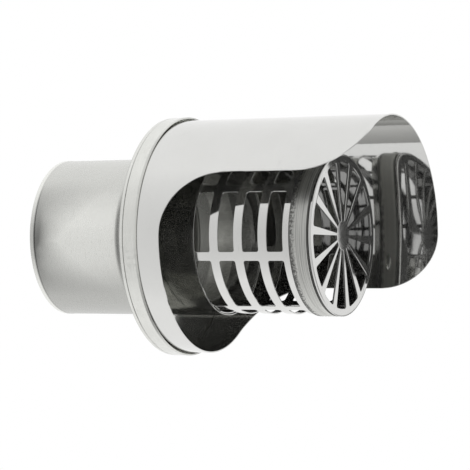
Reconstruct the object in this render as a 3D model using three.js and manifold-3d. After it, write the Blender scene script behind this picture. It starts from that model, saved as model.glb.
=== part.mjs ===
// Horizontal flue and vent terminal with a half-round rain hood and a slotted guard cage.
// Units are millimetres. The flue axis is +X, pointing away from the wall, and +Z is up.
// The origin is on the axis, in the plane of the back plate's wall face.
import * as THREE from 'three';
import { mergeVertices } from 'three/addons/utils/BufferGeometryUtils.js';
import Module from 'manifold-3d';

// Sheet thickness and running gaps.
const SHEET = 0.6;
const FIT = 0.3;
const EDGE = 0.2;

// Spigot pipe, which also forms the stub that holds the cage.
const SPIGOT_RADIUS = 40.0;
const SPIGOT_START = -63.0;
const SPIGOT_END = 30.4;

// Back plate with its folded rim, and the collar band next to it.
const PLATE_THICKNESS = 0.8;
const RIM_RADIUS = 60.6;
const RIM_WIDTH = 1.8;
const RIM_WALL = 1.0;
const RIM_EDGE = 0.45;
const BAND_START = 2.2;
const BAND_END = 9.1;
const BAND_WALL = 0.8;

// Rain hood: a tube whose lower half is cut away beyond a closed strip.
const HOOD_RADIUS = 59.05;
const HOOD_END = 120.5;
const STRIP_END = 21.1;
const HOOD_HALF_ANGLE = THREE.MathUtils.degToRad(88);
const STRIP_FILLET = 32;
const FREE_CORNER = 30;

// Guard cage: windows in columns along the axis and rows around it.
const CAGE_RADIUS = 39.1;
const CAGE_START = 14.0;
const CAGE_END = 91.5;
const WINDOW_START = 29.9;
const WINDOW_LENGTH = 8.45;
const WINDOW_PITCH = 13.1;
const WINDOW_COLUMNS = 4;
const WINDOW_ROWS = 7;
const WINDOW_CORNER = 1.1;
const AXIAL_RIB_WIDTH = 4.5;
const AXIAL_RIB_ANGLE = THREE.MathUtils.degToRad(134.6);

// Cap ring and the spoked grille that closes the end of the cage.
const CAP_START = 81.2;
const CAP_END = 91.5;
const CAP_RADIUS = 40.0;
const GRILLE_START = 91.8;
const GRILLE_THICKNESS = 1.0;
const GRILLE_RADIUS = 40.0;
const GRILLE_RIM = 3.9;
const SPOKE_COUNT = 14;
const HUB_RADIUS = 7.5;
const SPOKE_OUTER_WIDTH = 4.6;
const SPOKE_INNER_WIDTH = 1.3;
const GRILLE_CORNER = 1.4;

// Rivet that closes the seam of the cap ring.
const RIVET_ANGLE = THREE.MathUtils.degToRad(-67.5);
const RIVET_POSITION = 86.0;
const RIVET_HEAD_RADIUS = 1.5;
const RIVET_HEAD_HEIGHT = 0.7;
const RIVET_SHANK_RADIUS = 0.8;

const TURN = 2 * Math.PI;
const SEGMENTS = 84;
const CAGE_SEGMENTS = 56;

const wasm = await Module();
wasm.setup();

// Welds a geometry and makes its faces point outward.
function weld(source) {
  const bare = source.clone();
  bare.deleteAttribute('normal');
  bare.deleteAttribute('uv');
  const geometry = mergeVertices(bare, 1e-5);
  const position = geometry.getAttribute('position');
  const index = Array.from(geometry.getIndex().array);
  const a = new THREE.Vector3();
  const b = new THREE.Vector3();
  const c = new THREE.Vector3();
  const kept = [];
  let volume = 0;
  for (let i = 0; i < index.length; i += 3) {
    const [p, q, r] = [index[i], index[i + 1], index[i + 2]];
    if (p === q || q === r || r === p) continue;
    a.fromBufferAttribute(position, p);
    b.fromBufferAttribute(position, q);
    c.fromBufferAttribute(position, r);
    volume += a.dot(b.cross(c));
    kept.push(p, q, r);
  }
  if (volume < 0) kept.reverse();
  geometry.setIndex(kept);
  return geometry;
}

function toManifold(geometry) {
  const welded = weld(geometry);
  const mesh = new wasm.Mesh({
    numProp: 3,
    vertProperties: Float32Array.from(welded.getAttribute('position').array),
    triVerts: Uint32Array.from(welded.getIndex().array),
  });
  return new wasm.Manifold(mesh);
}

function fromManifold(solid) {
  const mesh = solid.getMesh();
  const geometry = new THREE.BufferGeometry();
  geometry.setAttribute('position', new THREE.BufferAttribute(mesh.vertProperties, 3));
  geometry.setIndex(new THREE.BufferAttribute(mesh.triVerts, 1));
  return geometry;
}

function cut(body, tools) {
  let solid = toManifold(body);
  for (const tool of tools) {
    solid = solid.subtract(toManifold(tool));
  }
  return fromManifold(solid);
}

// Turns a closed [x, radius] outline about the X axis.
function revolve(outline, segments) {
  const points = outline.map(([x, radius]) => new THREE.Vector2(radius, x));
  points.push(points[0].clone());
  const geometry = new THREE.LatheGeometry(points, segments);
  geometry.rotateZ(-Math.PI / 2);
  return geometry;
}

// Plain tube with small chamfers on its outer edges.
function tube(start, end, outer, wall, chamfer = EDGE, segments = SEGMENTS) {
  return revolve([
    [start, outer - wall],
    [start, outer - chamfer],
    [start + chamfer, outer],
    [end - chamfer, outer],
    [end, outer - chamfer],
    [end, outer - wall],
  ], segments);
}

// Angles run from +Z towards -Y, looking along the axis from the outside.
function around(angle) {
  return new THREE.Matrix4().makeRotationX(angle);
}

function material(color, roughness) {
  return new THREE.MeshStandardMaterial({ color, metalness: 1, roughness });
}

const group = new THREE.Group();
group.name = 'flue_terminal';

function add(name, geometry, finish) {
  const mesh = new THREE.Mesh(weld(geometry), finish);
  mesh.geometry.computeVertexNormals();
  mesh.name = name;
  group.add(mesh);
}

// Spigot pipe.
const spigot = tube(SPIGOT_START, SPIGOT_END, SPIGOT_RADIUS, SHEET);
add('spigot_pipe', spigot, material(0xb9bab8, 0.42));

// Back plate: a flat annulus with a rounded, folded rim.
function rimCorner(centreX, from, to) {
  const points = [];
  for (let i = 0; i <= 2; i += 1) {
    const angle = THREE.MathUtils.lerp(from, to, i / 2);
    const x = centreX + RIM_EDGE * Math.cos(angle);
    const radius = RIM_RADIUS - RIM_EDGE + RIM_EDGE * Math.sin(angle);
    points.push([x, radius]);
  }
  return points;
}
const backPlate = revolve([
  [0, SPIGOT_RADIUS + FIT],
  ...rimCorner(RIM_EDGE, Math.PI, Math.PI / 2),
  ...rimCorner(RIM_WIDTH - RIM_EDGE, Math.PI / 2, 0),
  [RIM_WIDTH, RIM_RADIUS - RIM_WALL],
  [PLATE_THICKNESS, RIM_RADIUS - RIM_WALL],
  [PLATE_THICKNESS, SPIGOT_RADIUS + FIT],
], SEGMENTS);
add('back_plate', backPlate, material(0xc6c7c5, 0.3));

// Collar band.
const band = tube(BAND_START, BAND_END, RIM_RADIUS, BAND_WALL, 0.25);
add('collar_band', band, material(0xc6c7c5, 0.3));

// Rain hood. The cut line is laid out on the flat sheet and rolled to the hood's radius.
function hoodCutter() {
  const steps = 14;
  const reach = HOOD_RADIUS + 8;
  const height = (angle) => HOOD_RADIUS * Math.cos(angle);
  const shape = new THREE.Shape();
  shape.moveTo(STRIP_END, -reach);
  const filletCentre = HOOD_HALF_ANGLE + STRIP_FILLET / HOOD_RADIUS;
  for (let i = 0; i <= steps; i += 1) {
    const t = (Math.PI / 2) * (1 - i / steps);
    const x = STRIP_END + STRIP_FILLET * (1 - Math.sin(t));
    shape.lineTo(x, height(filletCentre - (STRIP_FILLET / HOOD_RADIUS) * Math.cos(t)));
  }
  const cornerCentre = HOOD_HALF_ANGLE - FREE_CORNER / HOOD_RADIUS;
  for (let i = 0; i <= steps; i += 1) {
    const t = (Math.PI / 2) * (i / steps);
    const x = HOOD_END - FREE_CORNER * (1 - Math.sin(t));
    shape.lineTo(x, height(cornerCentre + (FREE_CORNER / HOOD_RADIUS) * Math.cos(t)));
  }
  shape.lineTo(HOOD_END + 5, height(cornerCentre));
  shape.lineTo(HOOD_END + 5, -reach);
  const geometry = new THREE.ExtrudeGeometry(shape, { depth: 2 * reach, bevelEnabled: false });
  geometry.translate(0, 0, -reach);
  geometry.rotateX(Math.PI / 2);
  return geometry;
}
const hoodTube = tube(PLATE_THICKNESS + FIT, HOOD_END, HOOD_RADIUS, SHEET);
add('rain_hood', cut(hoodTube, [hoodCutter()]), material(0xd9dad8, 0.12));

// Guard cage.
function roundedWindow(length, width, corner) {
  const [u, v] = [length / 2, width / 2];
  const shape = new THREE.Shape();
  shape.moveTo(-u + corner, -v);
  shape.lineTo(u - corner, -v);
  shape.absarc(u - corner, -v + corner, corner, -Math.PI / 2, 0, false);
  shape.lineTo(u, v - corner);
  shape.absarc(u - corner, v - corner, corner, 0, Math.PI / 2, false);
  shape.lineTo(-u + corner, v);
  shape.absarc(-u + corner, v - corner, corner, Math.PI / 2, Math.PI, false);
  shape.lineTo(-u, -v + corner);
  shape.absarc(-u + corner, -v + corner, corner, Math.PI, 1.5 * Math.PI, false);
  return shape;
}
function windowCutters() {
  const halfAngle = Math.PI / WINDOW_ROWS - AXIAL_RIB_WIDTH / CAGE_RADIUS / 2;
  const width = 2 * CAGE_RADIUS * Math.sin(halfAngle);
  const inner = (CAGE_RADIUS - SHEET) * Math.cos(halfAngle) - 3;
  const shape = roundedWindow(WINDOW_LENGTH, width, WINDOW_CORNER);
  const depth = CAGE_RADIUS + 3 - inner;
  const options = { depth, bevelEnabled: false, curveSegments: 2 };
  const tools = [];
  for (let row = 0; row < WINDOW_ROWS; row += 1) {
    const angle = AXIAL_RIB_ANGLE + (row + 0.5) * (TURN / WINDOW_ROWS);
    for (let column = 0; column < WINDOW_COLUMNS; column += 1) {
      const tool = new THREE.ExtrudeGeometry(shape, options);
      const centre = WINDOW_START + WINDOW_LENGTH / 2 + column * WINDOW_PITCH;
      tool.translate(centre, 0, inner);
      tool.applyMatrix4(around(angle));
      tools.push(tool);
    }
  }
  return tools;
}
const cageTube = tube(CAGE_START, CAGE_END, CAGE_RADIUS, SHEET, 0.1, CAGE_SEGMENTS);
add('guard_cage', cut(cageTube, windowCutters()), material(0xcfd0ce, 0.16));

// Cap ring, with the hole its rivet passes through.
function shankHole() {
  const tool = new THREE.CylinderGeometry(RIVET_SHANK_RADIUS + FIT, RIVET_SHANK_RADIUS + FIT, 6, 16);
  tool.rotateX(Math.PI / 2);
  tool.translate(RIVET_POSITION, 0, CAP_RADIUS);
  tool.applyMatrix4(around(RIVET_ANGLE));
  return tool;
}
const capTube = tube(CAP_START, CAP_END, CAP_RADIUS, SHEET, 0.15);
add('cap_ring', cut(capTube, [shankHole()]), material(0xa9aaa8, 0.38));

// Spoked grille: a flat disc with tapered openings between the spokes.
function sectorOpening(middle) {
  const outer = GRILLE_RADIUS - GRILLE_RIM;
  const half = Math.PI / SPOKE_COUNT;
  const outerHalf = half - SPOKE_OUTER_WIDTH / 2 / outer;
  const innerHalf = half - SPOKE_INNER_WIDTH / 2 / HUB_RADIUS;
  const at = (radius, angle) => new THREE.Vector2(
    radius * Math.cos(middle + angle),
    radius * Math.sin(middle + angle),
  );
  const turnIn = GRILLE_CORNER / outer;
  const hole = new THREE.Path();
  const points = [at(HUB_RADIUS, -innerHalf), at(HUB_RADIUS, innerHalf)];
  for (let i = 0; i <= 4; i += 1) {
    const t = (i / 4) * (Math.PI / 2);
    const radius = outer - GRILLE_CORNER * (1 - Math.sin(t));
    points.push(at(radius, outerHalf - turnIn * (1 - Math.cos(t))));
  }
  points.push(at(outer, 0));
  for (let i = 4; i >= 0; i -= 1) {
    const t = (i / 4) * (Math.PI / 2);
    const radius = outer - GRILLE_CORNER * (1 - Math.sin(t));
    points.push(at(radius, -outerHalf + turnIn * (1 - Math.cos(t))));
  }
  hole.setFromPoints(points.reverse());
  hole.closePath();
  return hole;
}
function spokedDisc() {
  const shape = new THREE.Shape();
  shape.absarc(0, 0, GRILLE_RADIUS, 0, TURN, false);
  for (let i = 0; i < SPOKE_COUNT; i += 1) {
    shape.holes.push(sectorOpening((i * TURN) / SPOKE_COUNT));
  }
  const options = { depth: GRILLE_THICKNESS, bevelEnabled: false, curveSegments: SEGMENTS };
  const geometry = new THREE.ExtrudeGeometry(shape, options);
  geometry.rotateY(Math.PI / 2);
  geometry.rotateX(Math.PI / 2);
  geometry.translate(GRILLE_START, 0, 0);
  return geometry;
}
add('end_grille', spokedDisc(), material(0xd3d4d2, 0.14));

// Seam rivet: a domed head and a short shank, built standing on +Z.
function rivet() {
  const points = [new THREE.Vector2(0, -SHEET)];
  points.push(new THREE.Vector2(RIVET_SHANK_RADIUS, -SHEET));
  points.push(new THREE.Vector2(RIVET_SHANK_RADIUS, FIT));
  for (let i = 0; i <= 5; i += 1) {
    const t = (i / 5) * (Math.PI / 2);
    points.push(new THREE.Vector2(
      i === 5 ? 0 : RIVET_HEAD_RADIUS * Math.cos(t),
      FIT + RIVET_HEAD_HEIGHT * Math.sin(t),
    ));
  }
  const geometry = new THREE.LatheGeometry(points, 20);
  geometry.rotateX(Math.PI / 2);
  geometry.translate(RIVET_POSITION, 0, CAP_RADIUS);
  geometry.applyMatrix4(around(RIVET_ANGLE));
  return geometry;
}
add('cap_rivet', rivet(), material(0xb0b1af, 0.3));

export default group;
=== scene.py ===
"""Looks for the flue terminal cowl: high-resolution sheet-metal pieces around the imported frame."""

import math

import bmesh
import bpy
import numpy as np
from mathutils import Matrix, Vector


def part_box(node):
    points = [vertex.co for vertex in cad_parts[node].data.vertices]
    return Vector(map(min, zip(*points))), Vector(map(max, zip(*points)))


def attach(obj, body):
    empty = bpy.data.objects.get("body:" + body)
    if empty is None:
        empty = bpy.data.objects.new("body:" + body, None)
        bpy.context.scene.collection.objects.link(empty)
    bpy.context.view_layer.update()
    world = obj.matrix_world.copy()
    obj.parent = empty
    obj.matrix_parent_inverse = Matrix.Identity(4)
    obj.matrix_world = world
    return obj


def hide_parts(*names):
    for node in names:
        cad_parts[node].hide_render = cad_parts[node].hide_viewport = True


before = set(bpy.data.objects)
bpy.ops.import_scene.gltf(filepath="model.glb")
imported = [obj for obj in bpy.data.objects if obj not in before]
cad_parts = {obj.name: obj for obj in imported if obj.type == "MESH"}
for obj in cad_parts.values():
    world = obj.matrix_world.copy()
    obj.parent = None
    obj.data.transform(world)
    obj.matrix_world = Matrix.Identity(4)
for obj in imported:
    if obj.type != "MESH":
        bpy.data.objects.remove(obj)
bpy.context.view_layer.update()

MM = 0.001
TURN = 2 * math.pi
QUARTER = math.pi / 2

# ---------------------------------------------------------------- dimensions
# Places and outer sizes come from the frame. Only what the boxes can't tell is repeated here.
SPIGOT_LO, SPIGOT_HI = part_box("spigot_pipe")
PLATE_LO, PLATE_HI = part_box("back_plate")
BAND_LO, BAND_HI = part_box("collar_band")
HOOD_LO, HOOD_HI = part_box("rain_hood")
CAGE_LO, CAGE_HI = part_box("guard_cage")
RING_LO, RING_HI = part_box("cap_ring")
GRILLE_LO, GRILLE_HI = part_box("end_grille")
RIVET_LO, RIVET_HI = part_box("cap_rivet")

SHEET = 0.6 * MM
SHEET_EDGE = 0.15 * MM
ROUND_SEGMENTS = 288

# Spigot: a small lip at its end and a shallow stop groove near the plate.
LIP_LENGTH = 2.2 * MM
LIP_STEP = 0.8 * MM
LIP_HEIGHT = 0.12 * MM
GROOVE_X = -10.5 * MM
GROOVE_WIDTH = 7.5 * MM
GROOVE_DEPTH = 0.6 * MM

# Back plate and its folded rim.
PLATE_THICKNESS = 0.8 * MM
PLATE_GAP = 0.05 * MM
PLATE_EDGE = 0.1 * MM
RIM_WALL = 1.0 * MM
RIM_GAP = 0.14 * MM
RIM_OUTER_ROUND = 0.55 * MM
RIM_SEAM_ROUND = 0.22 * MM
RIM_FOLD_ROUND = 0.3 * MM

# Collar band. It sits tightest on the hood at the sides, square to HOOD_GAP_ANGLE.
HOOD_GAP = 0.06 * MM
HOOD_GAP_SWELL = 0.8 * MM
HOOD_GAP_ANGLE = math.radians(29.8)
BAND_FOOT = 0.3 * MM
BAND_SLOPE = 0.47
BAND_EDGE = 0.08 * MM
BAND_SEAM_ROUND = 0.16 * MM
BAND_SLOPE_ROUND = 0.12 * MM

# Rain hood: the cut is laid out on the flat sheet.
STRIP_END = 21.1 * MM
STRIP_FILLET = 32 * MM
STRIP_ROWS = 12
FREE_CORNER = 30 * MM
FREE_END_GAP = 0.01 * MM
HOOD_HALF_ANGLE = math.radians(88)
HOOD_EDGE = 0.14 * MM
HOOD_ARC_STEPS = 56
HOOD_PLAIN_STEPS = 24
HOOD_HALF_COLUMNS = 96
HOOD_UNDER_COLUMNS = 80

# Guard cage.
WINDOW_START = 29.9 * MM
WINDOW_LENGTH = 8.45 * MM
WINDOW_PITCH = 13.1 * MM
WINDOW_COLUMNS = 4
WINDOW_ROWS = 7
WINDOW_CORNER = 1.1 * MM
WINDOW_CORNER_STEPS = 8
WINDOW_END_STEPS = 6
WINDOW_SIDE_STEPS = 26
AXIAL_RIB_WIDTH = 4.5 * MM
AXIAL_RIB_ANGLE = math.radians(134.6)
CAGE_EDGE = 0.12 * MM
CAGE_END_GAP = 0.2 * MM
CAGE_END_STEPS = 8

# Cap ring: its free end is turned in by a quarter turn.
RING_TURN = 1.1 * MM
RING_TURN_STEPS = 10

# End grille.
GRILLE_RIM = 3.9 * MM
GRILLE_CORNER = 1.4 * MM
GRILLE_EDGE = 0.34 * MM
RIM_EDGE = 0.8 * MM
RIM_BACK_EDGE = 0.12 * MM
SPOKE_COUNT = 14
SPOKE_OUTER_WIDTH = 4.6 * MM
SPOKE_INNER_WIDTH = 1.3 * MM
HUB_RADIUS = 7.5 * MM
HUB_STEPS = 6
CORNER_STEPS = 8
RIM_STEPS = 12

# Cap rivet.
RIVET_ANGLE = math.radians(-67.5)
RIVET_RADIUS = 1.5 * MM
RIVET_HEIGHT = 0.75 * MM
RIVET_DEPTH = 0.3 * MM
RIVET_SINK = 0.02 * MM
RIVET_STEPS = 10
RIVET_SEGMENTS = 48

# ---------------------------------------------------------------- camera
# Camera axes in the row frame, from its turn about the vertical, its tilt and the part's roll.
CAMERA_TURN = math.radians(26.0)
CAMERA_TILT = math.radians(0.40)
PART_ROLL = math.radians(29.8)
CAMERA_OFFSET = Vector((30.1, 0.80, 1100.0)) * MM
FOCAL_LENGTH = 164.6
SENSOR_WIDTH = 36
CLIP_END = 100


def camera_rotation():
    """3x3 that takes camera coordinates (right, up, back) to the row frame."""
    turn_cos, turn_sin = math.cos(CAMERA_TURN), math.sin(CAMERA_TURN)
    tilt_cos, tilt_sin = math.cos(CAMERA_TILT), math.sin(CAMERA_TILT)
    axis = Vector((turn_cos * tilt_cos, tilt_sin, turn_sin * tilt_cos))
    up = Vector((-turn_cos * tilt_sin, tilt_cos, -turn_sin * tilt_sin))
    near = axis.cross(up)
    part_up = math.cos(PART_ROLL) * up - math.sin(PART_ROLL) * near
    part_side = part_up.cross(axis)
    return Matrix((axis, part_side, part_up))


ROTATION = camera_rotation()
camera_data = bpy.data.cameras.new("photo_camera")
camera_data.lens = FOCAL_LENGTH
camera_data.sensor_width = SENSOR_WIDTH
camera_data.clip_end = CLIP_END
camera = bpy.data.objects.new("photo_camera", camera_data)
camera.matrix_world = Matrix.Translation(ROTATION @ CAMERA_OFFSET) @ ROTATION.to_4x4()
bpy.context.scene.collection.objects.link(camera)
bpy.context.scene.camera = camera


# ---------------------------------------------------------------- node helpers
def add_node(tree, kind, inputs=None, **settings):
    """A shader node with its settings and its inputs: numbers, colours or other nodes' sockets."""
    made = tree.nodes.new(kind)
    for key, value in settings.items():
        setattr(made, key, value)
    for key, value in (inputs or {}).items():
        if isinstance(value, bpy.types.NodeSocket):
            tree.links.new(value, made.inputs[key])
        else:
            made.inputs[key].default_value = value
    return made


def math_node(tree, operation, a, b=0.0):
    return add_node(tree, "ShaderNodeMath", {0: a, 1: b}, operation=operation).outputs[0]


def chained(tree, operation, values):
    """The values joined from left to right by one operation."""
    result = values[0]
    for value in values[1:]:
        result = math_node(tree, operation, result, value)
    return result


def times(tree, *values):
    return chained(tree, "MULTIPLY", values)


def plus(tree, *values):
    return chained(tree, "ADD", values)


def complement(tree, mask):
    return math_node(tree, "SUBTRACT", 1.0, mask)


def ramp(tree, value, low, high, out_low, out_high, shape="LINEAR"):
    """Maps value from low..high to out_low..out_high, clamped."""
    inputs = {"Value": value, "From Min": low, "From Max": high, "To Min": out_low, "To Max": out_high}
    return add_node(tree, "ShaderNodeMapRange", inputs, interpolation_type=shape).outputs["Result"]


def soft_ramp(tree, value, low, high, out_low, out_high):
    """Like ramp, with a soft start and end."""
    return ramp(tree, value, low, high, out_low, out_high, "SMOOTHSTEP")


def vary(tree, field, low, high):
    """Maps the usual range of a noise field to low..high."""
    return ramp(tree, field, 0.3, 0.7, low, high)


def fade(tree, mask, without, full):
    """without where mask is 0 and full where it is 1."""
    return ramp(tree, mask, 0.0, 1.0, without, full)


def blend(tree, share, a, b):
    """a where share is 0 and b where it is 1, for sockets."""
    inputs = {"Factor": share, "A": a, "B": b}
    return add_node(tree, "ShaderNodeMix", inputs, data_type="FLOAT").outputs["Result"]


def vector_node(tree, operation, a, b):
    return add_node(tree, "ShaderNodeVectorMath", {0: a, 1: b}, operation=operation)


def stretched(tree, vector, scale):
    return vector_node(tree, "MULTIPLY", vector, scale).outputs[0]


def dot(tree, a, b):
    return vector_node(tree, "DOT_PRODUCT", a, b).outputs["Value"]


def combine(tree, x, y, z):
    return add_node(tree, "ShaderNodeCombineXYZ", {0: x, 1: y, 2: z}).outputs[0]


def separate(tree, vector):
    return add_node(tree, "ShaderNodeSeparateXYZ", {0: vector}).outputs


def geometry(tree, output):
    return add_node(tree, "ShaderNodeNewGeometry").outputs[output]


def noise(tree, vector, scale, detail=3.0, roughness=0.5):
    inputs = {"Vector": vector, "Scale": scale, "Detail": detail, "Roughness": roughness}
    return add_node(tree, "ShaderNodeTexNoise", inputs).outputs["Fac"]


def scratches(tree, vector, scale, width):
    """Thin wandering lines, 1 in a scratch and 0 elsewhere."""
    field = noise(tree, vector, scale, 2.0, 0.6)
    off = math_node(tree, "ABSOLUTE", math_node(tree, "SUBTRACT", field, 0.5))
    return ramp(tree, off, 0.0, width, 1.0, 0.0)


def cylinder_coordinates(tree):
    """Sockets for the place, and for its length along the axis, angle about it and distance from it."""
    place = add_node(tree, "ShaderNodeTexCoord").outputs["Object"]
    parts = separate(tree, place)
    angle = math_node(tree, "ARCTAN2", parts["Y"], parts["Z"])
    squared = plus(tree, times(tree, parts["Y"], parts["Y"]), times(tree, parts["Z"], parts["Z"]))
    return place, parts["X"], angle, math_node(tree, "SQRT", squared)


def unrolled(tree, along, angle, radius, scale):
    """Texture coordinates on the unrolled sheet, with a scale for each direction."""
    scaled = [times(tree, value, factor) for value, factor in zip((along, angle, radius), scale)]
    return combine(tree, *scaled)


def inner_face(tree, place):
    """1 on faces that look towards the axis, 0 on the others."""
    facing = dot(tree, stretched(tree, place, (0, 1, 1)), geometry(tree, "True Normal"))
    return ramp(tree, facing, -12 * MM, -6 * MM, 1.0, 0.0)


def edge_wear(tree):
    """1 on a convex edge, 0 on open sheet."""
    bevelled = add_node(tree, "ShaderNodeBevel", {"Radius": 0.6 * MM}, samples=4).outputs[0]
    return ramp(tree, dot(tree, bevelled, geometry(tree, "Normal")), 0.995, 0.90, 0.0, 1.0)


def cut_wall(tree, radius):
    """1 on the walls of openings cut through the grille's disc, 0 on its faces and its outer rim."""
    across = math_node(tree, "ABSOLUTE", separate(tree, geometry(tree, "True Normal"))["X"])
    within_rim = ramp(tree, radius, GRILLE_HI.z - 1.5 * MM, GRILLE_HI.z - 1.0 * MM, 1.0, 0.0)
    return times(tree, ramp(tree, across, 0.5, 0.9, 1.0, 0.0), within_rim)


# ---------------------------------------------------------------- materials
STEEL_TINT = (1.0, 1.003, 0.962)
BRIGHT_TINT = (1.0, 1.0, 0.978)
# Metallic below 1 stands for the thin film of dust that lifts the darkest reflections.
CLEANNESS = 0.96


def new_material(name):
    made = bpy.data.materials.new(name)
    made.use_nodes = True
    made.node_tree.nodes.clear()
    return made, made.node_tree


def finish_steel(tree, shade, roughness, bumps, tint=STEEL_TINT):
    """Principled steel: shade and roughness are sockets, bumps are (height socket, distance, strength)."""
    inputs = {
        "Base Color": stretched(tree, combine(tree, shade, shade, shade), tint),
        "Metallic": CLEANNESS,
        "Roughness": roughness,
    }
    for height, distance, strength in bumps:
        bump = {"Height": height, "Distance": distance, "Strength": strength}
        if "Normal" in inputs:
            bump["Normal"] = inputs["Normal"]
        inputs["Normal"] = add_node(tree, "ShaderNodeBump", bump).outputs[0]
    shader = add_node(tree, "ShaderNodeBsdfPrincipled", inputs)
    add_node(tree, "ShaderNodeOutputMaterial", {"Surface": shader.outputs[0]})


def bright_sheet(name, shade, rough, wave, inner=1.0, dent=0.0, cut_edge=1.0):
    """Bright annealed stainless sheet: near mirror, slightly wavy, with a faint rolling grain.

    inner darkens faces towards the axis, a painted shade inside the tube, and cut_edge darkens the walls of
    cut openings.
    wave is the height of the whole sheet's waviness, and dent that of the dents on its inner face.
    """
    made, tree = new_material(name)
    place, along, angle, radius = cylinder_coordinates(tree)
    within = inner_face(tree, place)
    outside = complement(tree, within)
    grain = noise(tree, unrolled(tree, along, angle, radius, (2600, 2, 900)), 1.0, 4.0, 0.6)
    cloud = noise(tree, place, 45)
    fine = noise(tree, place, 900, 4.0, 0.6)
    dents = times(tree, noise(tree, stretched(tree, place, (2.2, 0.7, 0.7)), 60, 2.0), within)
    colour = times(
        tree,
        vary(tree, cloud, shade * 0.985, shade * 1.015),
        vary(tree, grain, 0.99, 1.01),
        fade(tree, scratches(tree, place, 75, 0.004), 1.0, 0.95),
        fade(tree, within, 1.0, inner),
        fade(tree, cut_wall(tree, radius), 1.0, cut_edge),
    )
    roughness = plus(
        tree,
        vary(tree, grain, rough * 0.8, rough * 1.2),
        ramp(tree, fine, 0.45, 0.75, 0.0, 0.03),
        fade(tree, edge_wear(tree), 0.0, 0.12),
    )
    bumps = [
        (noise(tree, place, 38, 1.0), wave, 1.0),
        (dents, dent, 1.0),
        (times(tree, grain, outside), 0.0006 * MM, 0.6),
        (times(tree, fine, outside), 0.0004 * MM, 0.5),
    ]
    finish_steel(tree, colour, roughness, bumps, BRIGHT_TINT)
    return made


# Painted sheen and shade: the spigot's outside is lightest along one line, at the angle below counted from +Z
# towards -Y, with painted shade away from it and on its low side.
SHEEN_ANGLE = math.radians(122)
SHEEN_HALF_WIDTH = math.radians(8)
SHEEN_FADE_HALF_WIDTH = math.radians(42)
SHEEN_TONES = (1.08, 0.69)
LOW_SIDE = (-38 * MM, 0.0)
LOW_SIDE_SHADE_TONES = (0.84, 1.08)
# Painted shade at its free end: a narrow deep band inside a broad faint one.
END_WANDER = 3 * MM
END_SPREAD = math.radians(16)
END_NEAR_REACH = 6.5 * MM
END_NEAR_DEPTH = 0.40
END_BROAD_REACH = 13 * MM
END_BROAD_GROWTH = 40 * MM
END_BROAD_SIDES = (math.radians(26), math.radians(50))
END_BROAD_DEPTH = 0.36
LIP_SHADE_DEPTH = 0.35
# The part of the tube beyond the plate is polished, and mirrors the dark inside of the hood; its colour is
# darkened as well, a painted shade under the hood.
STUB_START = (0.5 * MM, 1.5 * MM)
STUB_SHADE_TONES = (0.43, 0.61)
STUB_ROUGHNESS = (0.11, 0.14)


def end_painted_shade(tree, off, cloud, along, end_x):
    """Sockets for the free end's painted shade: how much the body loses, and the tone of the lip, which has
    painted shade along its lightest line.
    """

    def falling(value, reach):
        return math_node(tree, "EXPONENT", math_node(tree, "DIVIDE", value, -reach))

    distance = math_node(tree, "SUBTRACT", along, end_x + LIP_LENGTH + LIP_STEP)
    distance = plus(tree, distance, vary(tree, cloud, -END_WANDER, END_WANDER))
    distance = math_node(tree, "MAXIMUM", distance, 0.0)
    spread = falling(times(tree, off, off), 2 * END_SPREAD**2)
    near = times(tree, spread, falling(distance, END_NEAR_REACH), END_NEAR_DEPTH)
    reach = plus(tree, times(tree, off, END_BROAD_GROWTH), END_BROAD_REACH)
    broad = complement(tree, math_node(tree, "DIVIDE", distance, reach))
    broad = math_node(tree, "MAXIMUM", broad, 0.0)
    broad = times(tree, broad, soft_ramp(tree, off, *END_BROAD_SIDES, END_BROAD_DEPTH, 0.0))
    return plus(tree, near, broad), complement(tree, times(tree, spread, LIP_SHADE_DEPTH))


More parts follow.
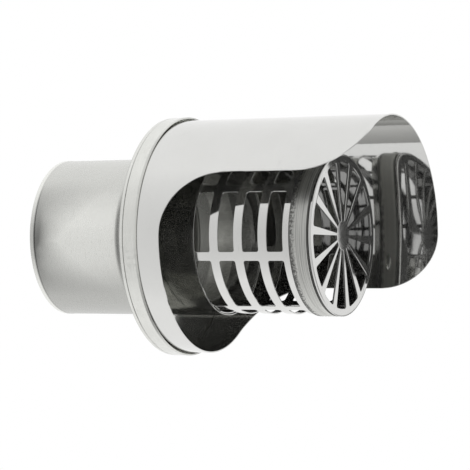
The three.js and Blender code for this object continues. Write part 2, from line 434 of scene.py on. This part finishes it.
def dull_sheet(name, shade, rough, end_x):
    """Dull rolled stainless sheet: soft broad reflections and fine scuffs from fitting, with light and shade
    painted into its colour: a painted sheen along one line, and painted shade on the low side, at the free
    end, on the inside and on the stub.
    """
    made, tree = new_material(name)
    place, along, angle, radius = cylinder_coordinates(tree)
    cloud = noise(tree, place, 28, 4.0)
    fine = noise(tree, place, 1600, 3.0, 0.65)
    scuffs = scratches(tree, unrolled(tree, along, angle, radius, (900, 3, 0)), 1.0, 0.02)
    sheen_line = (0.0, -math.sin(SHEEN_ANGLE), math.cos(SHEEN_ANGLE))
    off = math_node(tree, "ARCCOSINE", math_node(tree, "DIVIDE", dot(tree, place, sheen_line), radius))
    end_shade, lip_shade_tone = end_painted_shade(tree, off, cloud, along, end_x)
    # Painted light and shade: the sheen along one line, shade on the low side and shade at the free end.
    body_tone = times(
        tree,
        soft_ramp(tree, off, SHEEN_HALF_WIDTH, SHEEN_FADE_HALF_WIDTH, *SHEEN_TONES),
        ramp(tree, separate(tree, place)["Z"], *LOW_SIDE, *LOW_SIDE_SHADE_TONES),
        complement(tree, end_shade),
    )
    body_start = (end_x + 0.75 * LIP_LENGTH, end_x + LIP_LENGTH + 0.1 * LIP_STEP)
    on_body = soft_ramp(tree, along, *body_start, 0.0, 1.0)
    colour = times(
        tree,
        blend(tree, on_body, lip_shade_tone, body_tone),
        vary(tree, cloud, shade * 0.96, shade * 1.03),
        vary(tree, fine, 0.985, 1.015),
        fade(tree, scuffs, 1.0, 0.96),
        # The inside of the tube is darker: painted shade.
        fade(tree, inner_face(tree, place), 1.0, 0.6),
    )
    stub = ramp(tree, along, *STUB_START, 0.0, 1.0)
    outside = complement(tree, stub)
    rolled = noise(tree, unrolled(tree, along, angle, radius, (160, 5, 0)), 1.0, 5.0, 0.65)
    colour = blend(tree, stub, colour, ramp(tree, rolled, 0.35, 0.65, *STUB_SHADE_TONES))
    roughness = plus(tree, vary(tree, cloud, rough * 0.9, rough * 1.1), fade(tree, scuffs, 0.0, 0.05))
    roughness = blend(tree, stub, roughness, vary(tree, cloud, *STUB_ROUGHNESS))
    bumps = [
        (cloud, 0.06 * MM, 1.0),
        (times(tree, fine, outside), 0.001 * MM, 0.7),
        (times(tree, scuffs, outside), 0.002 * MM, 0.4),
    ]
    finish_steel(tree, colour, roughness, bumps)
    return made


def satin_sheet(name, shade, rough, wave=0.03 * MM):
    """Satin strip: faint lines along its length and small scuffs, most of them on its lower side."""
    made, tree = new_material(name)
    place, along, angle, radius = cylinder_coordinates(tree)
    lines = noise(tree, unrolled(tree, along, angle, radius, (4200, 5, 900)), 1.0, 3.0, 0.6)
    cloud = noise(tree, place, 60, 4.0, 0.6)
    handled = times(
        tree,
        ramp(tree, noise(tree, place, 26, 1.0), 0.45, 0.62, 0.0, 1.0),
        ramp(tree, separate(tree, place)["Z"], -30 * MM, 20 * MM, 1.0, 0.2),
    )
    marks = ramp(tree, noise(tree, place, 420, 4.0, 0.7), 0.46, 0.66, 0.0, 0.15)
    colour = times(
        tree,
        vary(tree, cloud, shade * 0.95, shade * 1.04),
        vary(tree, lines, 0.97, 1.03),
        complement(tree, times(tree, marks, handled)),
    )
    roughness = vary(tree, cloud, rough * 0.85, rough * 1.15)
    finish_steel(tree, colour, roughness, [(cloud, wave, 1.0), (lines, 0.001 * MM, 0.6)])
    return made


def brushed_ring(name, shade, rough, start_x, end_x):
    """Strip brushed round its circumference, with painted shade in a dark band along its inner edge, whose
    line wobbles, and in the crevice at its free end, and a painted highlight just before that crevice. The
    brushing is deep on the -Y side and fades out towards +Y."""
    made, tree = new_material(name)
    place, along, angle, radius = cylinder_coordinates(tree)
    fine = noise(tree, unrolled(tree, along, angle, radius, (2100, 0.5, 300)), 1.0, 3.0, 0.7)
    deep = noise(tree, unrolled(tree, along, angle, radius, (1250, 0.5, 300)), 1.0, 2.0, 0.6)
    worked = ramp(tree, separate(tree, place)["Y"], -20 * MM, 15 * MM, 1.0, 0.15)
    edge_wobble = ramp(tree, noise(tree, place, 900, 2.0, 0.7), 0.35, 0.65, -1.2 * MM, 1.2 * MM)
    colour = times(
        tree,
        complement(tree, times(tree, vary(tree, fine, 0.42, -0.19), worked)),
        shade,
        complement(tree, times(tree, ramp(tree, deep, 0.36, 0.54, 0.42, 0.0), worked)),
        # Painted shade along the inner edge, with a wobbling line.
        ramp(tree, plus(tree, along, edge_wobble), start_x + 1.0 * MM, start_x + 2.6 * MM, 0.30, 1.0),
        # Painted highlight just before the crevice at the free end.
        soft_ramp(tree, along, end_x - 2.6 * MM, end_x - 1.6 * MM, 1.0, 1.19),
        # Painted shade in the crevice at the free end.
        soft_ramp(tree, along, end_x - 1.2 * MM, end_x - 0.7 * MM, 1.0, 0.22),
    )
    roughness = vary(tree, fine, rough * 0.8, rough * 1.2)
    bumps = [(times(tree, fine, worked), 0.012 * MM, 1.0), (times(tree, deep, worked), 0.03 * MM, 0.8)]
    finish_steel(tree, colour, roughness, bumps)
    return made


# The inner faces of the hood and the cage are given darker steel than their outer faces: painted shade inside
# the tubes.
HOOD_STEEL = bright_sheet("hood_bright_sheet", 0.72, 0.05, 0.03 * MM, inner=0.86, dent=0.02 * MM)
CAGE_STEEL = bright_sheet("cage_bright_sheet", 0.72, 0.07, 0.02 * MM, inner=0.37, dent=0.18 * MM)
GRILLE_STEEL = bright_sheet("grille_bright_sheet", 0.66, 0.08, 0.01 * MM, cut_edge=0.35)
SPIGOT_STEEL = dull_sheet("spigot_dull_sheet", 0.88, 0.27, SPIGOT_LO.x)
PLATE_STEEL = satin_sheet("plate_satin_sheet", 0.76, 0.10, 0.12 * MM)
BAND_STEEL = satin_sheet("band_satin_sheet", 0.76, 0.18)
RING_STEEL = brushed_ring("ring_brushed_strip", 0.84, 0.48, RING_LO.x, RING_HI.x)
RIVET_STEEL = satin_sheet("rivet_satin", 0.60, 0.25)


# ---------------------------------------------------------------- mesh helpers
MERGE_DISTANCE = 1e-7


def make_piece(name, verts, faces, node, material):
    """A mesh object that stands for one CAD node and rides on the only body."""
    mesh = bpy.data.meshes.new(name)
    mesh.from_pydata([tuple(v) for v in verts], [], [tuple(f) for f in faces])
    work = bmesh.new()
    work.from_mesh(mesh)
    bmesh.ops.remove_doubles(work, verts=work.verts, dist=MERGE_DISTANCE)
    bmesh.ops.recalc_face_normals(work, faces=work.faces)
    work.to_mesh(mesh)
    work.free()
    mesh.materials.append(material)
    piece = bpy.data.objects.new(name, mesh)
    bpy.context.scene.collection.objects.link(piece)
    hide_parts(node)
    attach(piece, "root")
    return piece


def evaluated_mesh(piece):
    """A new mesh with the result of the object's modifiers."""
    bpy.context.view_layer.update()
    evaluated = piece.evaluated_get(bpy.context.evaluated_depsgraph_get())
    return bpy.data.meshes.new_from_object(evaluated)


def smooth(piece, angle=40):
    mesh = piece.data
    mesh.polygons.foreach_set("use_smooth", [True] * len(mesh.polygons))
    mesh.set_sharp_from_angle(angle=math.radians(angle))


def read_values(items, key, size, kind=float):
    """One attribute of every item, as rows of size values."""
    values = np.zeros(len(items) * size, kind)
    items.foreach_get(key, values)
    return values.reshape(-1, size)


def true_normals(piece, radii):
    """Exact normals for flat faces square to X and for faces on cylinders of these radii about X."""
    mesh = piece.data
    normals = read_values(mesh.corner_normals, "vector", 3)
    points = read_values(mesh.vertices, "co", 3)
    corner_vertex = read_values(mesh.loops, "vertex_index", 1, int).ravel()
    sizes = read_values(mesh.polygons, "loop_total", 1, int).ravel()
    face_normals = np.repeat(read_values(mesh.polygons, "normal", 3), sizes, axis=0)
    spot = points[corner_vertex]
    radius = np.hypot(spot[:, 1], spot[:, 2])
    radial = np.zeros_like(spot)
    radial[:, 1:] = spot[:, 1:] / np.maximum(radius, 1e-9)[:, None]
    facing = (face_normals * radial).sum(1)
    on_wall = np.zeros(len(spot), bool)
    for wanted in radii:
        on_wall |= abs(radius - wanted) < 0.02 * MM
    chosen = on_wall & (abs(facing) > 0.985)
    normals[chosen] = radial[chosen] * np.sign(facing[chosen])[:, None]
    flat = abs(face_normals[:, 0]) > 0.9995
    normals[flat] = np.sign(face_normals[flat]) * (1, 0, 0)
    mesh.normals_split_custom_set([tuple(n) for n in normals])


def mix(a, b, share):
    return a + (b - a) * share


def spaced(start, end, steps):
    """steps + 1 even values from start to end."""
    return [mix(start, end, i / steps) for i in range(steps + 1)]


def on_cylinder(x, angle, radius):
    """Angles run from +Z towards -Y."""
    return (x, -radius * math.sin(angle), radius * math.cos(angle))


def quads(base, rows, width, closed=False, looped=True):
    """Faces between neighbouring rows of width points; closed joins last row to first, looped their ends."""
    faces = []
    for i in range(rows if closed else rows - 1):
        here = base + i * width
        there = base + (i + 1) % rows * width
        for j in range(width if looped else width - 1):
            k = (j + 1) % width
            faces.append((here + j, here + k, there + k, there + j))
    return faces


def rounded(corners, steps=4):
    """Outline through (x, radius, corner size) points, each corner turned by an arc of that size."""
    outline = []
    count = len(corners)
    for i, (x, y, size) in enumerate(corners):
        here = Vector((x, y))
        back = (Vector(corners[i - 1][:2]) - here).normalized()
        ahead = (Vector(corners[(i + 1) % count][:2]) - here).normalized()
        half = back.angle(ahead) / 2
        reach = size / math.tan(half)
        centre = here + (back + ahead).normalized() * (size / math.sin(half))
        a = here + back * reach - centre
        b = here + ahead * reach - centre
        turn = a.angle(b)
        for k in range(steps + 1):
            weight_a = math.sin((1 - k / steps) * turn) / math.sin(turn)
            weight_b = math.sin((k / steps) * turn) / math.sin(turn)
            outline.append(tuple(centre + a * weight_a + b * weight_b))
    return outline


def revolved_piece(name, outline, node, material, radii):
    """A closed (x, radius) outline turned about the X axis: one outline, or a function of the angle."""
    outline_at = outline if callable(outline) else lambda _: outline
    verts = []
    for i in range(ROUND_SEGMENTS):
        angle = TURN * i / ROUND_SEGMENTS
        verts += [on_cylinder(x, angle, r) for x, r in outline_at(angle)]
    width = len(verts) // ROUND_SEGMENTS
    piece = make_piece(name, verts, quads(0, ROUND_SEGMENTS, width, closed=True), node, material)
    smooth(piece)
    true_normals(piece, radii)
    return piece


def sheet_piece(name, verts, faces, node, material, radius, edge):
    """A sheet at the outer radius, made into a wall with rounded edges."""
    piece = make_piece(name, verts, faces, node, material)
    mesh = piece.data
    face = mesh.polygons[0]
    if face.normal.dot(Vector((0, face.center.y, face.center.z))) < 0:
        mesh.flip_normals()
    solid = piece.modifiers.new("wall", "SOLIDIFY")
    solid.thickness = SHEET
    solid.offset = -1
    solid.use_even_offset = True
    bevel = piece.modifiers.new("edge", "BEVEL")
    bevel.width = edge
    bevel.segments = 3
    bevel.limit_method = "ANGLE"
    bevel.angle_limit = math.radians(50)
    bevel.harden_normals = False
    mesh = evaluated_mesh(piece)
    piece.modifiers.clear()
    piece.data = mesh
    smooth(piece)
    true_normals(piece, [radius, radius - SHEET])
    return piece


# ---------------------------------------------------------------- spigot pipe
def spigot_radius(x):
    """Outer radius: a lip at the end, a step down behind it, and a shallow stop groove near the plate."""
    step = min(max((x - SPIGOT_LO.x - LIP_LENGTH) / LIP_STEP, 0), 1)
    lowered = LIP_HEIGHT * (1 - math.cos(math.pi * step)) / 2
    off = min(abs(x - GROOVE_X) / (GROOVE_WIDTH / 2), 1)
    grooved = (GROOVE_DEPTH - LIP_HEIGHT) * (1 + math.cos(math.pi * off)) / 2
    past_groove = x - GROOVE_X - GROOVE_WIDTH / 2
    if past_groove > 0:
        lowered *= 1 - min(past_groove / LIP_STEP, 1)
    return SPIGOT_HI.z - lowered - grooved


def spigot_outline():
    start, end, full = SPIGOT_LO.x, SPIGOT_HI.x, SPIGOT_HI.z
    step_start, step_end = start + LIP_LENGTH, start + LIP_LENGTH + LIP_STEP
    groove_start, groove_end = GROOVE_X - GROOVE_WIDTH / 2, GROOVE_X + GROOVE_WIDTH / 2
    stations = spaced(start, step_start, 6)[1:-1]
    stations += spaced(step_start, step_end, 10)
    stations += spaced(step_end, groove_start, 20)[1:-1]
    stations += spaced(groove_start, groove_end, 30)
    stations += spaced(groove_end, groove_end + LIP_STEP, 4)[1:]
    outer = [(x, spigot_radius(x)) for x in stations]
    inner = [(x, r - SHEET) for x, r in reversed(outer)]
    ends = rounded(
        [
            (end, full, SHEET_EDGE),
            (end, full - SHEET, SHEET_EDGE),
            (start, full - SHEET, SHEET_EDGE),
            (start, full, SHEET_EDGE),
        ]
    )
    count = len(ends) // 2
    return outer + ends[:count] + inner + ends[count:]


revolved_piece(
    "spigot_pipe_sheet",
    spigot_outline(),
    "spigot_pipe",
    SPIGOT_STEEL,
    [SPIGOT_HI.z, SPIGOT_HI.z - SHEET],
)


# ---------------------------------------------------------------- back plate and collar band
def plate_outline():
    """A flat disc with its rim folded forward."""
    bore, rim = SPIGOT_HI.z + PLATE_GAP, PLATE_HI.z
    front, rim_front = PLATE_LO.x + PLATE_THICKNESS, BAND_LO.x - RIM_GAP
    return rounded(
        [
            (PLATE_LO.x, bore, PLATE_EDGE),
            (PLATE_LO.x, rim, RIM_OUTER_ROUND),
            (rim_front, rim, RIM_SEAM_ROUND),
            (rim_front, rim - RIM_WALL, RIM_FOLD_ROUND),
            (front, rim - RIM_WALL, PLATE_EDGE),
            (front, bore, PLATE_EDGE),
        ]
    )


def band_outline(angle):
    """The rolled strip closes in on the hood, more tightly at the sides than above and below."""
    slack = HOOD_GAP_SWELL * math.cos(angle - HOOD_GAP_ANGLE) ** 4
    seat = HOOD_HI.z + HOOD_GAP + slack
    foot = seat + BAND_FOOT
    slope = (BAND_HI.z - foot) * BAND_SLOPE
    return rounded(
        [
            (BAND_LO.x, BAND_HI.z, BAND_SEAM_ROUND),
            (BAND_HI.x - slope, BAND_HI.z, BAND_SLOPE_ROUND),
            (BAND_HI.x, foot, BAND_EDGE),
            (BAND_HI.x, seat, BAND_EDGE),
            (BAND_LO.x, seat, BAND_EDGE),
        ]
    )


revolved_piece("back_plate_sheet", plate_outline(), "back_plate", PLATE_STEEL, [PLATE_HI.z])
revolved_piece("collar_band_strip", band_outline, "collar_band", BAND_STEEL, [BAND_HI.z])


# ---------------------------------------------------------------- rain hood
def hood_half_width(x):
    """Angle from the crown to the cut edge at x, from the cut laid out on the flat sheet."""
    radius = HOOD_HI.z
    if x < STRIP_END + STRIP_FILLET:
        rise = math.sqrt(max(STRIP_FILLET**2 - (STRIP_END + STRIP_FILLET - x) ** 2, 0))
        return HOOD_HALF_ANGLE + (STRIP_FILLET - rise) / radius
    if x > HOOD_HI.x - FREE_CORNER:
        rise = math.sqrt(max(FREE_CORNER**2 - (x - HOOD_HI.x + FREE_CORNER) ** 2, 0))
        return HOOD_HALF_ANGLE - (FREE_CORNER - rise) / radius
    return HOOD_HALF_ANGLE


def open_angles(x):
    half = hood_half_width(x)
    return [half * (j / HOOD_HALF_COLUMNS - 1) for j in range(2 * HOOD_HALF_COLUMNS + 1)]


def build_hood():
    """The closed strip next to the band, and the open half round beyond it."""
    radius = HOOD_HI.z
    corner = HOOD_HALF_ANGLE + STRIP_FILLET / radius
    closed_angles = open_angles(STRIP_END) + spaced(corner, TURN - corner, HOOD_UNDER_COLUMNS)[1:-1]
    strip_stations = spaced(HOOD_LO.x, STRIP_END, STRIP_ROWS)
    verts = [on_cylinder(x, a, radius) for x in strip_stations for a in closed_angles]
    faces = quads(0, STRIP_ROWS + 1, len(closed_angles))

    turns = spaced(0, QUARTER, HOOD_ARC_STEPS)
    fillet_end, corner_start = STRIP_END + STRIP_FILLET, HOOD_HI.x - FREE_CORNER
    stations = [STRIP_END + STRIP_FILLET * (1 - math.cos(turn)) for turn in turns[:-1]]
    stations += spaced(fillet_end, corner_start, HOOD_PLAIN_STEPS)[:-1]
    stations += [corner_start + (FREE_CORNER - FREE_END_GAP) * math.sin(turn) for turn in turns]
    base = len(verts)
    verts += [on_cylinder(x, a, radius) for x in stations for a in open_angles(x)]
    faces += quads(base, len(stations), 2 * HOOD_HALF_COLUMNS + 1, looped=False)
    return sheet_piece("rain_hood_sheet", verts, faces, "rain_hood", HOOD_STEEL, radius, HOOD_EDGE)


build_hood()


# ---------------------------------------------------------------- guard cage
def window_outlines():
    """Matched points round one window and round its cell, which ends at the middles of its ribs."""
    radius = CAGE_HI.z
    cell_x, cell_a = WINDOW_PITCH / 2, math.pi / WINDOW_ROWS * radius
    half_x, half_a = WINDOW_LENGTH / 2, cell_a - AXIAL_RIB_WIDTH / 2
    centre_x, centre_a = half_x - WINDOW_CORNER, half_a - WINDOW_CORNER
    window, cell = [], []
    corners = [(1, 1), (-1, 1), (-1, -1), (1, -1)]
    for index, (sx, sa) in enumerate(corners):
        starts_on_end = index % 2 == 0
        for k in range(WINDOW_CORNER_STEPS + 1):
            turn = QUARTER * (index + k / WINDOW_CORNER_STEPS)
            x = sx * centre_x + WINDOW_CORNER * math.cos(turn)
            a = sa * centre_a + WINDOW_CORNER * math.sin(turn)
            window.append((x, a))
            # The cell's outline goes to the corner in the first half of the arc and on in the second.
            share = 2 * k / WINDOW_CORNER_STEPS
            to_corner, from_corner = min(share, 1), max(share - 1, 0)
            if starts_on_end:
                cell.append((sx * mix(cell_x, centre_x, from_corner), sa * mix(centre_a, cell_a, to_corner)))
            else:
                cell.append((sx * mix(centre_x, cell_x, to_corner), sa * mix(cell_a, centre_a, from_corner)))
        next_sx, next_sa = corners[(index + 1) % 4]
        if starts_on_end:
            for x in spaced(sx * centre_x, next_sx * centre_x, WINDOW_END_STEPS)[1:-1]:
                window.append((x, sa * half_a))
                cell.append((x, sa * cell_a))
        else:
            for a in spaced(sa * centre_a, next_sa * centre_a, WINDOW_SIDE_STEPS)[1:-1]:
                window.append((sx * half_x, a))
                cell.append((sx * cell_x, a))
    return window, cell


def build_cage():
    """A tube of cells, one round each window, with a plain ring at each end."""
    radius = CAGE_HI.z
    window, cell = window_outlines()
    width = len(window)
    edge_arcs = sorted({round(a / radius, 9) for x, a in cell if x > WINDOW_PITCH / 2 - MERGE_DISTANCE})
    verts, faces, end_angles = [], [], []
    ring_shares = (0.0, 0.25, 0.6, 1.0)
    for row in range(WINDOW_ROWS):
        middle_a = AXIAL_RIB_ANGLE + (row + 0.5) * TURN / WINDOW_ROWS
        end_angles += [middle_a + arc for arc in edge_arcs[:-1]]
        for column in range(WINDOW_COLUMNS):
            middle_x = WINDOW_START + WINDOW_LENGTH / 2 + column * WINDOW_PITCH
            faces += quads(len(verts), len(ring_shares), width)
            for share in ring_shares:
                for (x, a), (cell_x, cell_a) in zip(window, cell):
                    spot_x, spot_a = mix(x, cell_x, share), mix(a, cell_a, share)
                    verts.append(on_cylinder(middle_x + spot_x, middle_a + spot_a / radius, radius))
    first = WINDOW_START - (WINDOW_PITCH - WINDOW_LENGTH) / 2
    last = first + WINDOW_COLUMNS * WINDOW_PITCH
    for start, end in ((CAGE_LO.x, first), (last, CAGE_HI.x - SHEET - CAGE_END_GAP)):
        faces += quads(len(verts), CAGE_END_STEPS + 1, len(end_angles))
        for x in spaced(start, end, CAGE_END_STEPS):
            verts += [on_cylinder(x, angle, radius) for angle in end_angles]
    return sheet_piece("guard_cage_tube", verts, faces, "guard_cage", CAGE_STEEL, radius, CAGE_EDGE)


build_cage()


# ---------------------------------------------------------------- cap ring
def ring_outline():
    """Plain edge over the cage, and at the free end an edge turned in by a quarter turn."""
    start, end, outer = RING_LO.x, RING_HI.x, RING_HI.z
    turns = spaced(0, QUARTER, RING_TURN_STEPS)
    centre_x, centre_r = end - RING_TURN, outer - RING_TURN
    outline = [(centre_x + RING_TURN * math.sin(t), centre_r + RING_TURN * math.cos(t)) for t in turns]
    within = RING_TURN - SHEET
    outline += [(centre_x + within * math.sin(t), centre_r + within * math.cos(t)) for t in reversed(turns)]
    outline += [
        (start + SHEET_EDGE, outer - SHEET),
        (start, outer - SHEET + SHEET_EDGE),
        (start, outer - SHEET_EDGE),
        (start + SHEET_EDGE, outer),
    ]
    return outline


revolved_piece("cap_ring_strip", ring_outline(), "cap_ring", RING_STEEL, [RING_HI.z, RING_HI.z - SHEET])


# ---------------------------------------------------------------- end grille
def sector_points(middle, inset):
    """Outline of one opening about its middle angle, drawn smaller by inset."""
    outer = GRILLE_HI.z - GRILLE_RIM - inset
    hub = HUB_RADIUS + inset
    half = math.pi / SPOKE_COUNT
    outer_half = half - (SPOKE_OUTER_WIDTH / 2 + inset) / outer
    hub_half = half - (SPOKE_INNER_WIDTH / 2 + inset) / hub
    flat_half = outer_half - GRILLE_CORNER / outer
    corner = []
    for turn in spaced(0, QUARTER, CORNER_STEPS):
        radius = outer - GRILLE_CORNER * (1 - math.sin(turn))
        corner.append((radius, flat_half + GRILLE_CORNER / outer * math.cos(turn)))
    polar = [(hub, angle) for angle in spaced(-hub_half, hub_half, HUB_STEPS)]
    polar += corner
    polar += [(outer, angle) for angle in spaced(flat_half, -flat_half, RIM_STEPS)[1:-1]]
    polar += [(radius, -angle) for radius, angle in reversed(corner)]
    return [(r * math.cos(middle + angle), r * math.sin(middle + angle)) for r, angle in polar]


def round_rim(point, middle, half):
    """Gives the disc's rim a large rounding in front and a small one behind; the openings keep theirs."""
    x, y, z = point
    radius = math.hypot(y, z)
    full = GRILLE_HI.z
    if radius < full - 1.01 * GRILLE_EDGE:
        return point
    size = RIM_EDGE if x > middle else RIM_BACK_EDGE
    rise = max(abs(x - middle) - (half - GRILLE_EDGE), 0) * size / GRILLE_EDGE
    wanted = full - size + (radius - full + GRILLE_EDGE) * size / GRILLE_EDGE
    moved_x = middle + math.copysign(half - size + rise, x - middle)
    return (moved_x, y * wanted / radius, z * wanted / radius)


def build_grille():
    """The disc is drawn as a filled curve with its openings, then stood square to X."""
    half = (GRILLE_HI.x - GRILLE_LO.x) / 2
    middle = (GRILLE_LO.x + GRILLE_HI.x) / 2
    curve = bpy.data.curves.new("end_grille_outline", "CURVE")
    curve.dimensions = "2D"
    curve.fill_mode = "BOTH"
    curve.extrude = half - GRILLE_EDGE
    curve.bevel_depth = GRILLE_EDGE
    curve.bevel_resolution = 4
    rim = GRILLE_HI.z - GRILLE_EDGE
    turns = [TURN * i / ROUND_SEGMENTS for i in range(ROUND_SEGMENTS)]
    loops = [[(rim * math.cos(turn), rim * math.sin(turn)) for turn in turns]]
    loops += [sector_points(TURN * i / SPOKE_COUNT, -GRILLE_EDGE) for i in range(SPOKE_COUNT)]
    for loop in loops:
        spline = curve.splines.new("POLY")
        spline.points.add(len(loop) - 1)
        for point, (u, v) in zip(spline.points, loop):
            point.co = (u, v, 0, 1)
        spline.use_cyclic_u = True
    flat = bpy.data.objects.new("end_grille_outline", curve)
    bpy.context.scene.collection.objects.link(flat)
    mesh = evaluated_mesh(flat)
    bpy.data.objects.remove(flat)
    verts = [round_rim((middle + v.co.z, -v.co.y, v.co.x), middle, half) for v in mesh.vertices]
    faces = [tuple(p.vertices) for p in mesh.polygons]
    piece = make_piece("end_grille_disc", verts, faces, "end_grille", GRILLE_STEEL)
    smooth(piece, 50)
    true_normals(piece, [GRILLE_HI.z])
    return piece


build_grille()


# ---------------------------------------------------------------- cap rivet
def build_rivet():
    """A domed head, turned about its own axis and set on the ring."""
    turns = spaced(0, QUARTER, RIVET_STEPS)[1:-1]
    outline = [(RIVET_RADIUS, -RIVET_DEPTH), (RIVET_RADIUS, 0.0)]
    outline += [(RIVET_RADIUS * math.cos(t), RIVET_HEIGHT * math.sin(t)) for t in turns]
    rows = len(outline)
    low = rows * RIVET_SEGMENTS
    top = low + 1
    verts, faces = [], []
    for i in range(RIVET_SEGMENTS):
        turn = TURN * i / RIVET_SEGMENTS
        verts += [(r * math.cos(turn), r * math.sin(turn), h) for r, h in outline]
        here = i * rows
        there = (i + 1) % RIVET_SEGMENTS * rows
        faces.append((low, there, here))
        faces.append((top, here + rows - 1, there + rows - 1))
        for j in range(rows - 1):
            faces.append((here + j, there + j, there + j + 1, here + j + 1))
    verts += [(0, 0, -RIVET_DEPTH), (0, 0, RIVET_HEIGHT)]
    along = Matrix.Translation(((RIVET_LO.x + RIVET_HI.x) / 2, 0, 0))
    out = Matrix.Translation((0, 0, RING_HI.z - RIVET_SINK))
    place = along @ Matrix.Rotation(RIVET_ANGLE, 4, "X") @ out
    verts = [place @ Vector(v) for v in verts]
    piece = make_piece("cap_rivet_head", verts, faces, "cap_rivet", RIVET_STEEL)
    smooth(piece)
    return piece


build_rivet()


# ---------------------------------------------------------------- floor and light
FLOOR_HALF_SIZE = 20.0
FLOOR_HEIGHT = -1.3

# The polished pieces mirror the surround, which is laid out by direction. It is dark where the
# direction's X and its closeness to the photographer are both past these ramps.
DARK_SIDE = (-0.30, 0.05)
DARK_FRONT = (0.40, 0.60)
DARK_BELOW = 0.5
SOFT_SIDE = (-0.60, -0.05)
SOFT_FRONT = (0.10, 0.70)
OPEN_END = (0.50, 0.62)
DARK_LEVEL = 0.055
# The side that the photograph doesn't show is lit more softly, so the sheet keeps its shape there.
BEHIND = (-0.1, 0.6)
MIDDLE_START = (-0.30, -0.12)
MIDDLE_END = (0.20, 0.36)
MIDDLE_DIMMING = 0.6
FREE_END = (0.56, 0.75)
FREE_END_DIMMING = (0.15, 0.6)
WALL_END = (-0.85, -0.60)
WALL_END_DIMMING = 0.45


def build_floor():
    size, height = FLOOR_HALF_SIZE, FLOOR_HEIGHT
    corners = [(-size, -size, height), (size, -size, height), (size, size, height), (-size, size, height)]
    mesh = bpy.data.meshes.new("floor")
    mesh.from_pydata(corners, [], [(0, 1, 2, 3)])
    made, tree = new_material("pale_floor")
    shader = add_node(tree, "ShaderNodeBsdfPrincipled", {"Base Color": (0.9, 0.9, 0.9, 1), "Roughness": 0.9})
    add_node(tree, "ShaderNodeOutputMaterial", {"Surface": shader.outputs[0]})
    mesh.materials.append(made)
    floor = bpy.data.objects.new("floor", mesh)
    bpy.context.scene.collection.objects.link(floor)
    # The polished pieces mirror the studio's surround alone.
    floor.visible_glossy = False


def build_world():
    """A white studio, bright behind and on the wall side, dark on the photographer's side of the free end."""
    world = bpy.data.worlds.new("studio")
    bpy.context.scene.world = world
    world.use_nodes = True
    tree = world.node_tree
    tree.nodes.clear()
    direction = add_node(tree, "ShaderNodeTexCoord").outputs["Generated"]
    facing = dot(tree, direction, tuple(ROTATION @ Vector((0.0, 0.0, 1.0))))
    parts = separate(tree, direction)
    lowered = math_node(tree, "SUBTRACT", facing, times(tree, parts["Z"], DARK_BELOW))
    zones = []
    for forward, side, front in ((lowered, DARK_SIDE, DARK_FRONT), (facing, SOFT_SIDE, SOFT_FRONT)):
        beside = ramp(tree, parts["X"], *side, 0.0, 1.0)
        before = ramp(tree, forward, *front, 0.0, 1.0)
        zones.append(times(tree, beside, before))
    dark = math_node(tree, "MAXIMUM", *zones)
    dark = times(tree, dark, ramp(tree, parts["X"], *OPEN_END, 1.0, 0.0))

    behind = soft_ramp(tree, parts["Y"], *BEHIND, 0.0, 1.0)
    middle = times(
        tree,
        soft_ramp(tree, parts["X"], *MIDDLE_START, 0.0, 1.0),
        soft_ramp(tree, parts["X"], *MIDDLE_END, 1.0, 0.0),
        times(tree, behind, MIDDLE_DIMMING),
    )
    free_end = soft_ramp(tree, parts["X"], *FREE_END, 0.0, 1.0)
    free_end = times(tree, free_end, fade(tree, behind, *FREE_END_DIMMING))
    wall_end = soft_ramp(tree, parts["X"], *WALL_END, WALL_END_DIMMING, 0.0)
    dim = math_node(tree, "MAXIMUM", middle, math_node(tree, "MAXIMUM", free_end, wall_end))
    level = times(tree, fade(tree, dark, 1.0, DARK_LEVEL), complement(tree, dim))
    seen = add_node(tree, "ShaderNodeLightPath").outputs["Is Camera Ray"]
    level = math_node(tree, "MAXIMUM", level, seen)
    light = {"Color": combine(tree, level, level, level), "Strength": 1.0}
    background = add_node(tree, "ShaderNodeBackground", light)
    add_node(tree, "ShaderNodeOutputWorld", {"Surface": background.outputs[0]})


build_floor()
build_world()

# Light has to pass many mirror bounces between the hood and the cage.
bpy.context.scene.cycles.max_bounces = 16
bpy.context.scene.cycles.glossy_bounces = 14
view_settings = bpy.context.scene.view_settings
view_settings.view_transform = "Standard"
view_settings.look = "None"
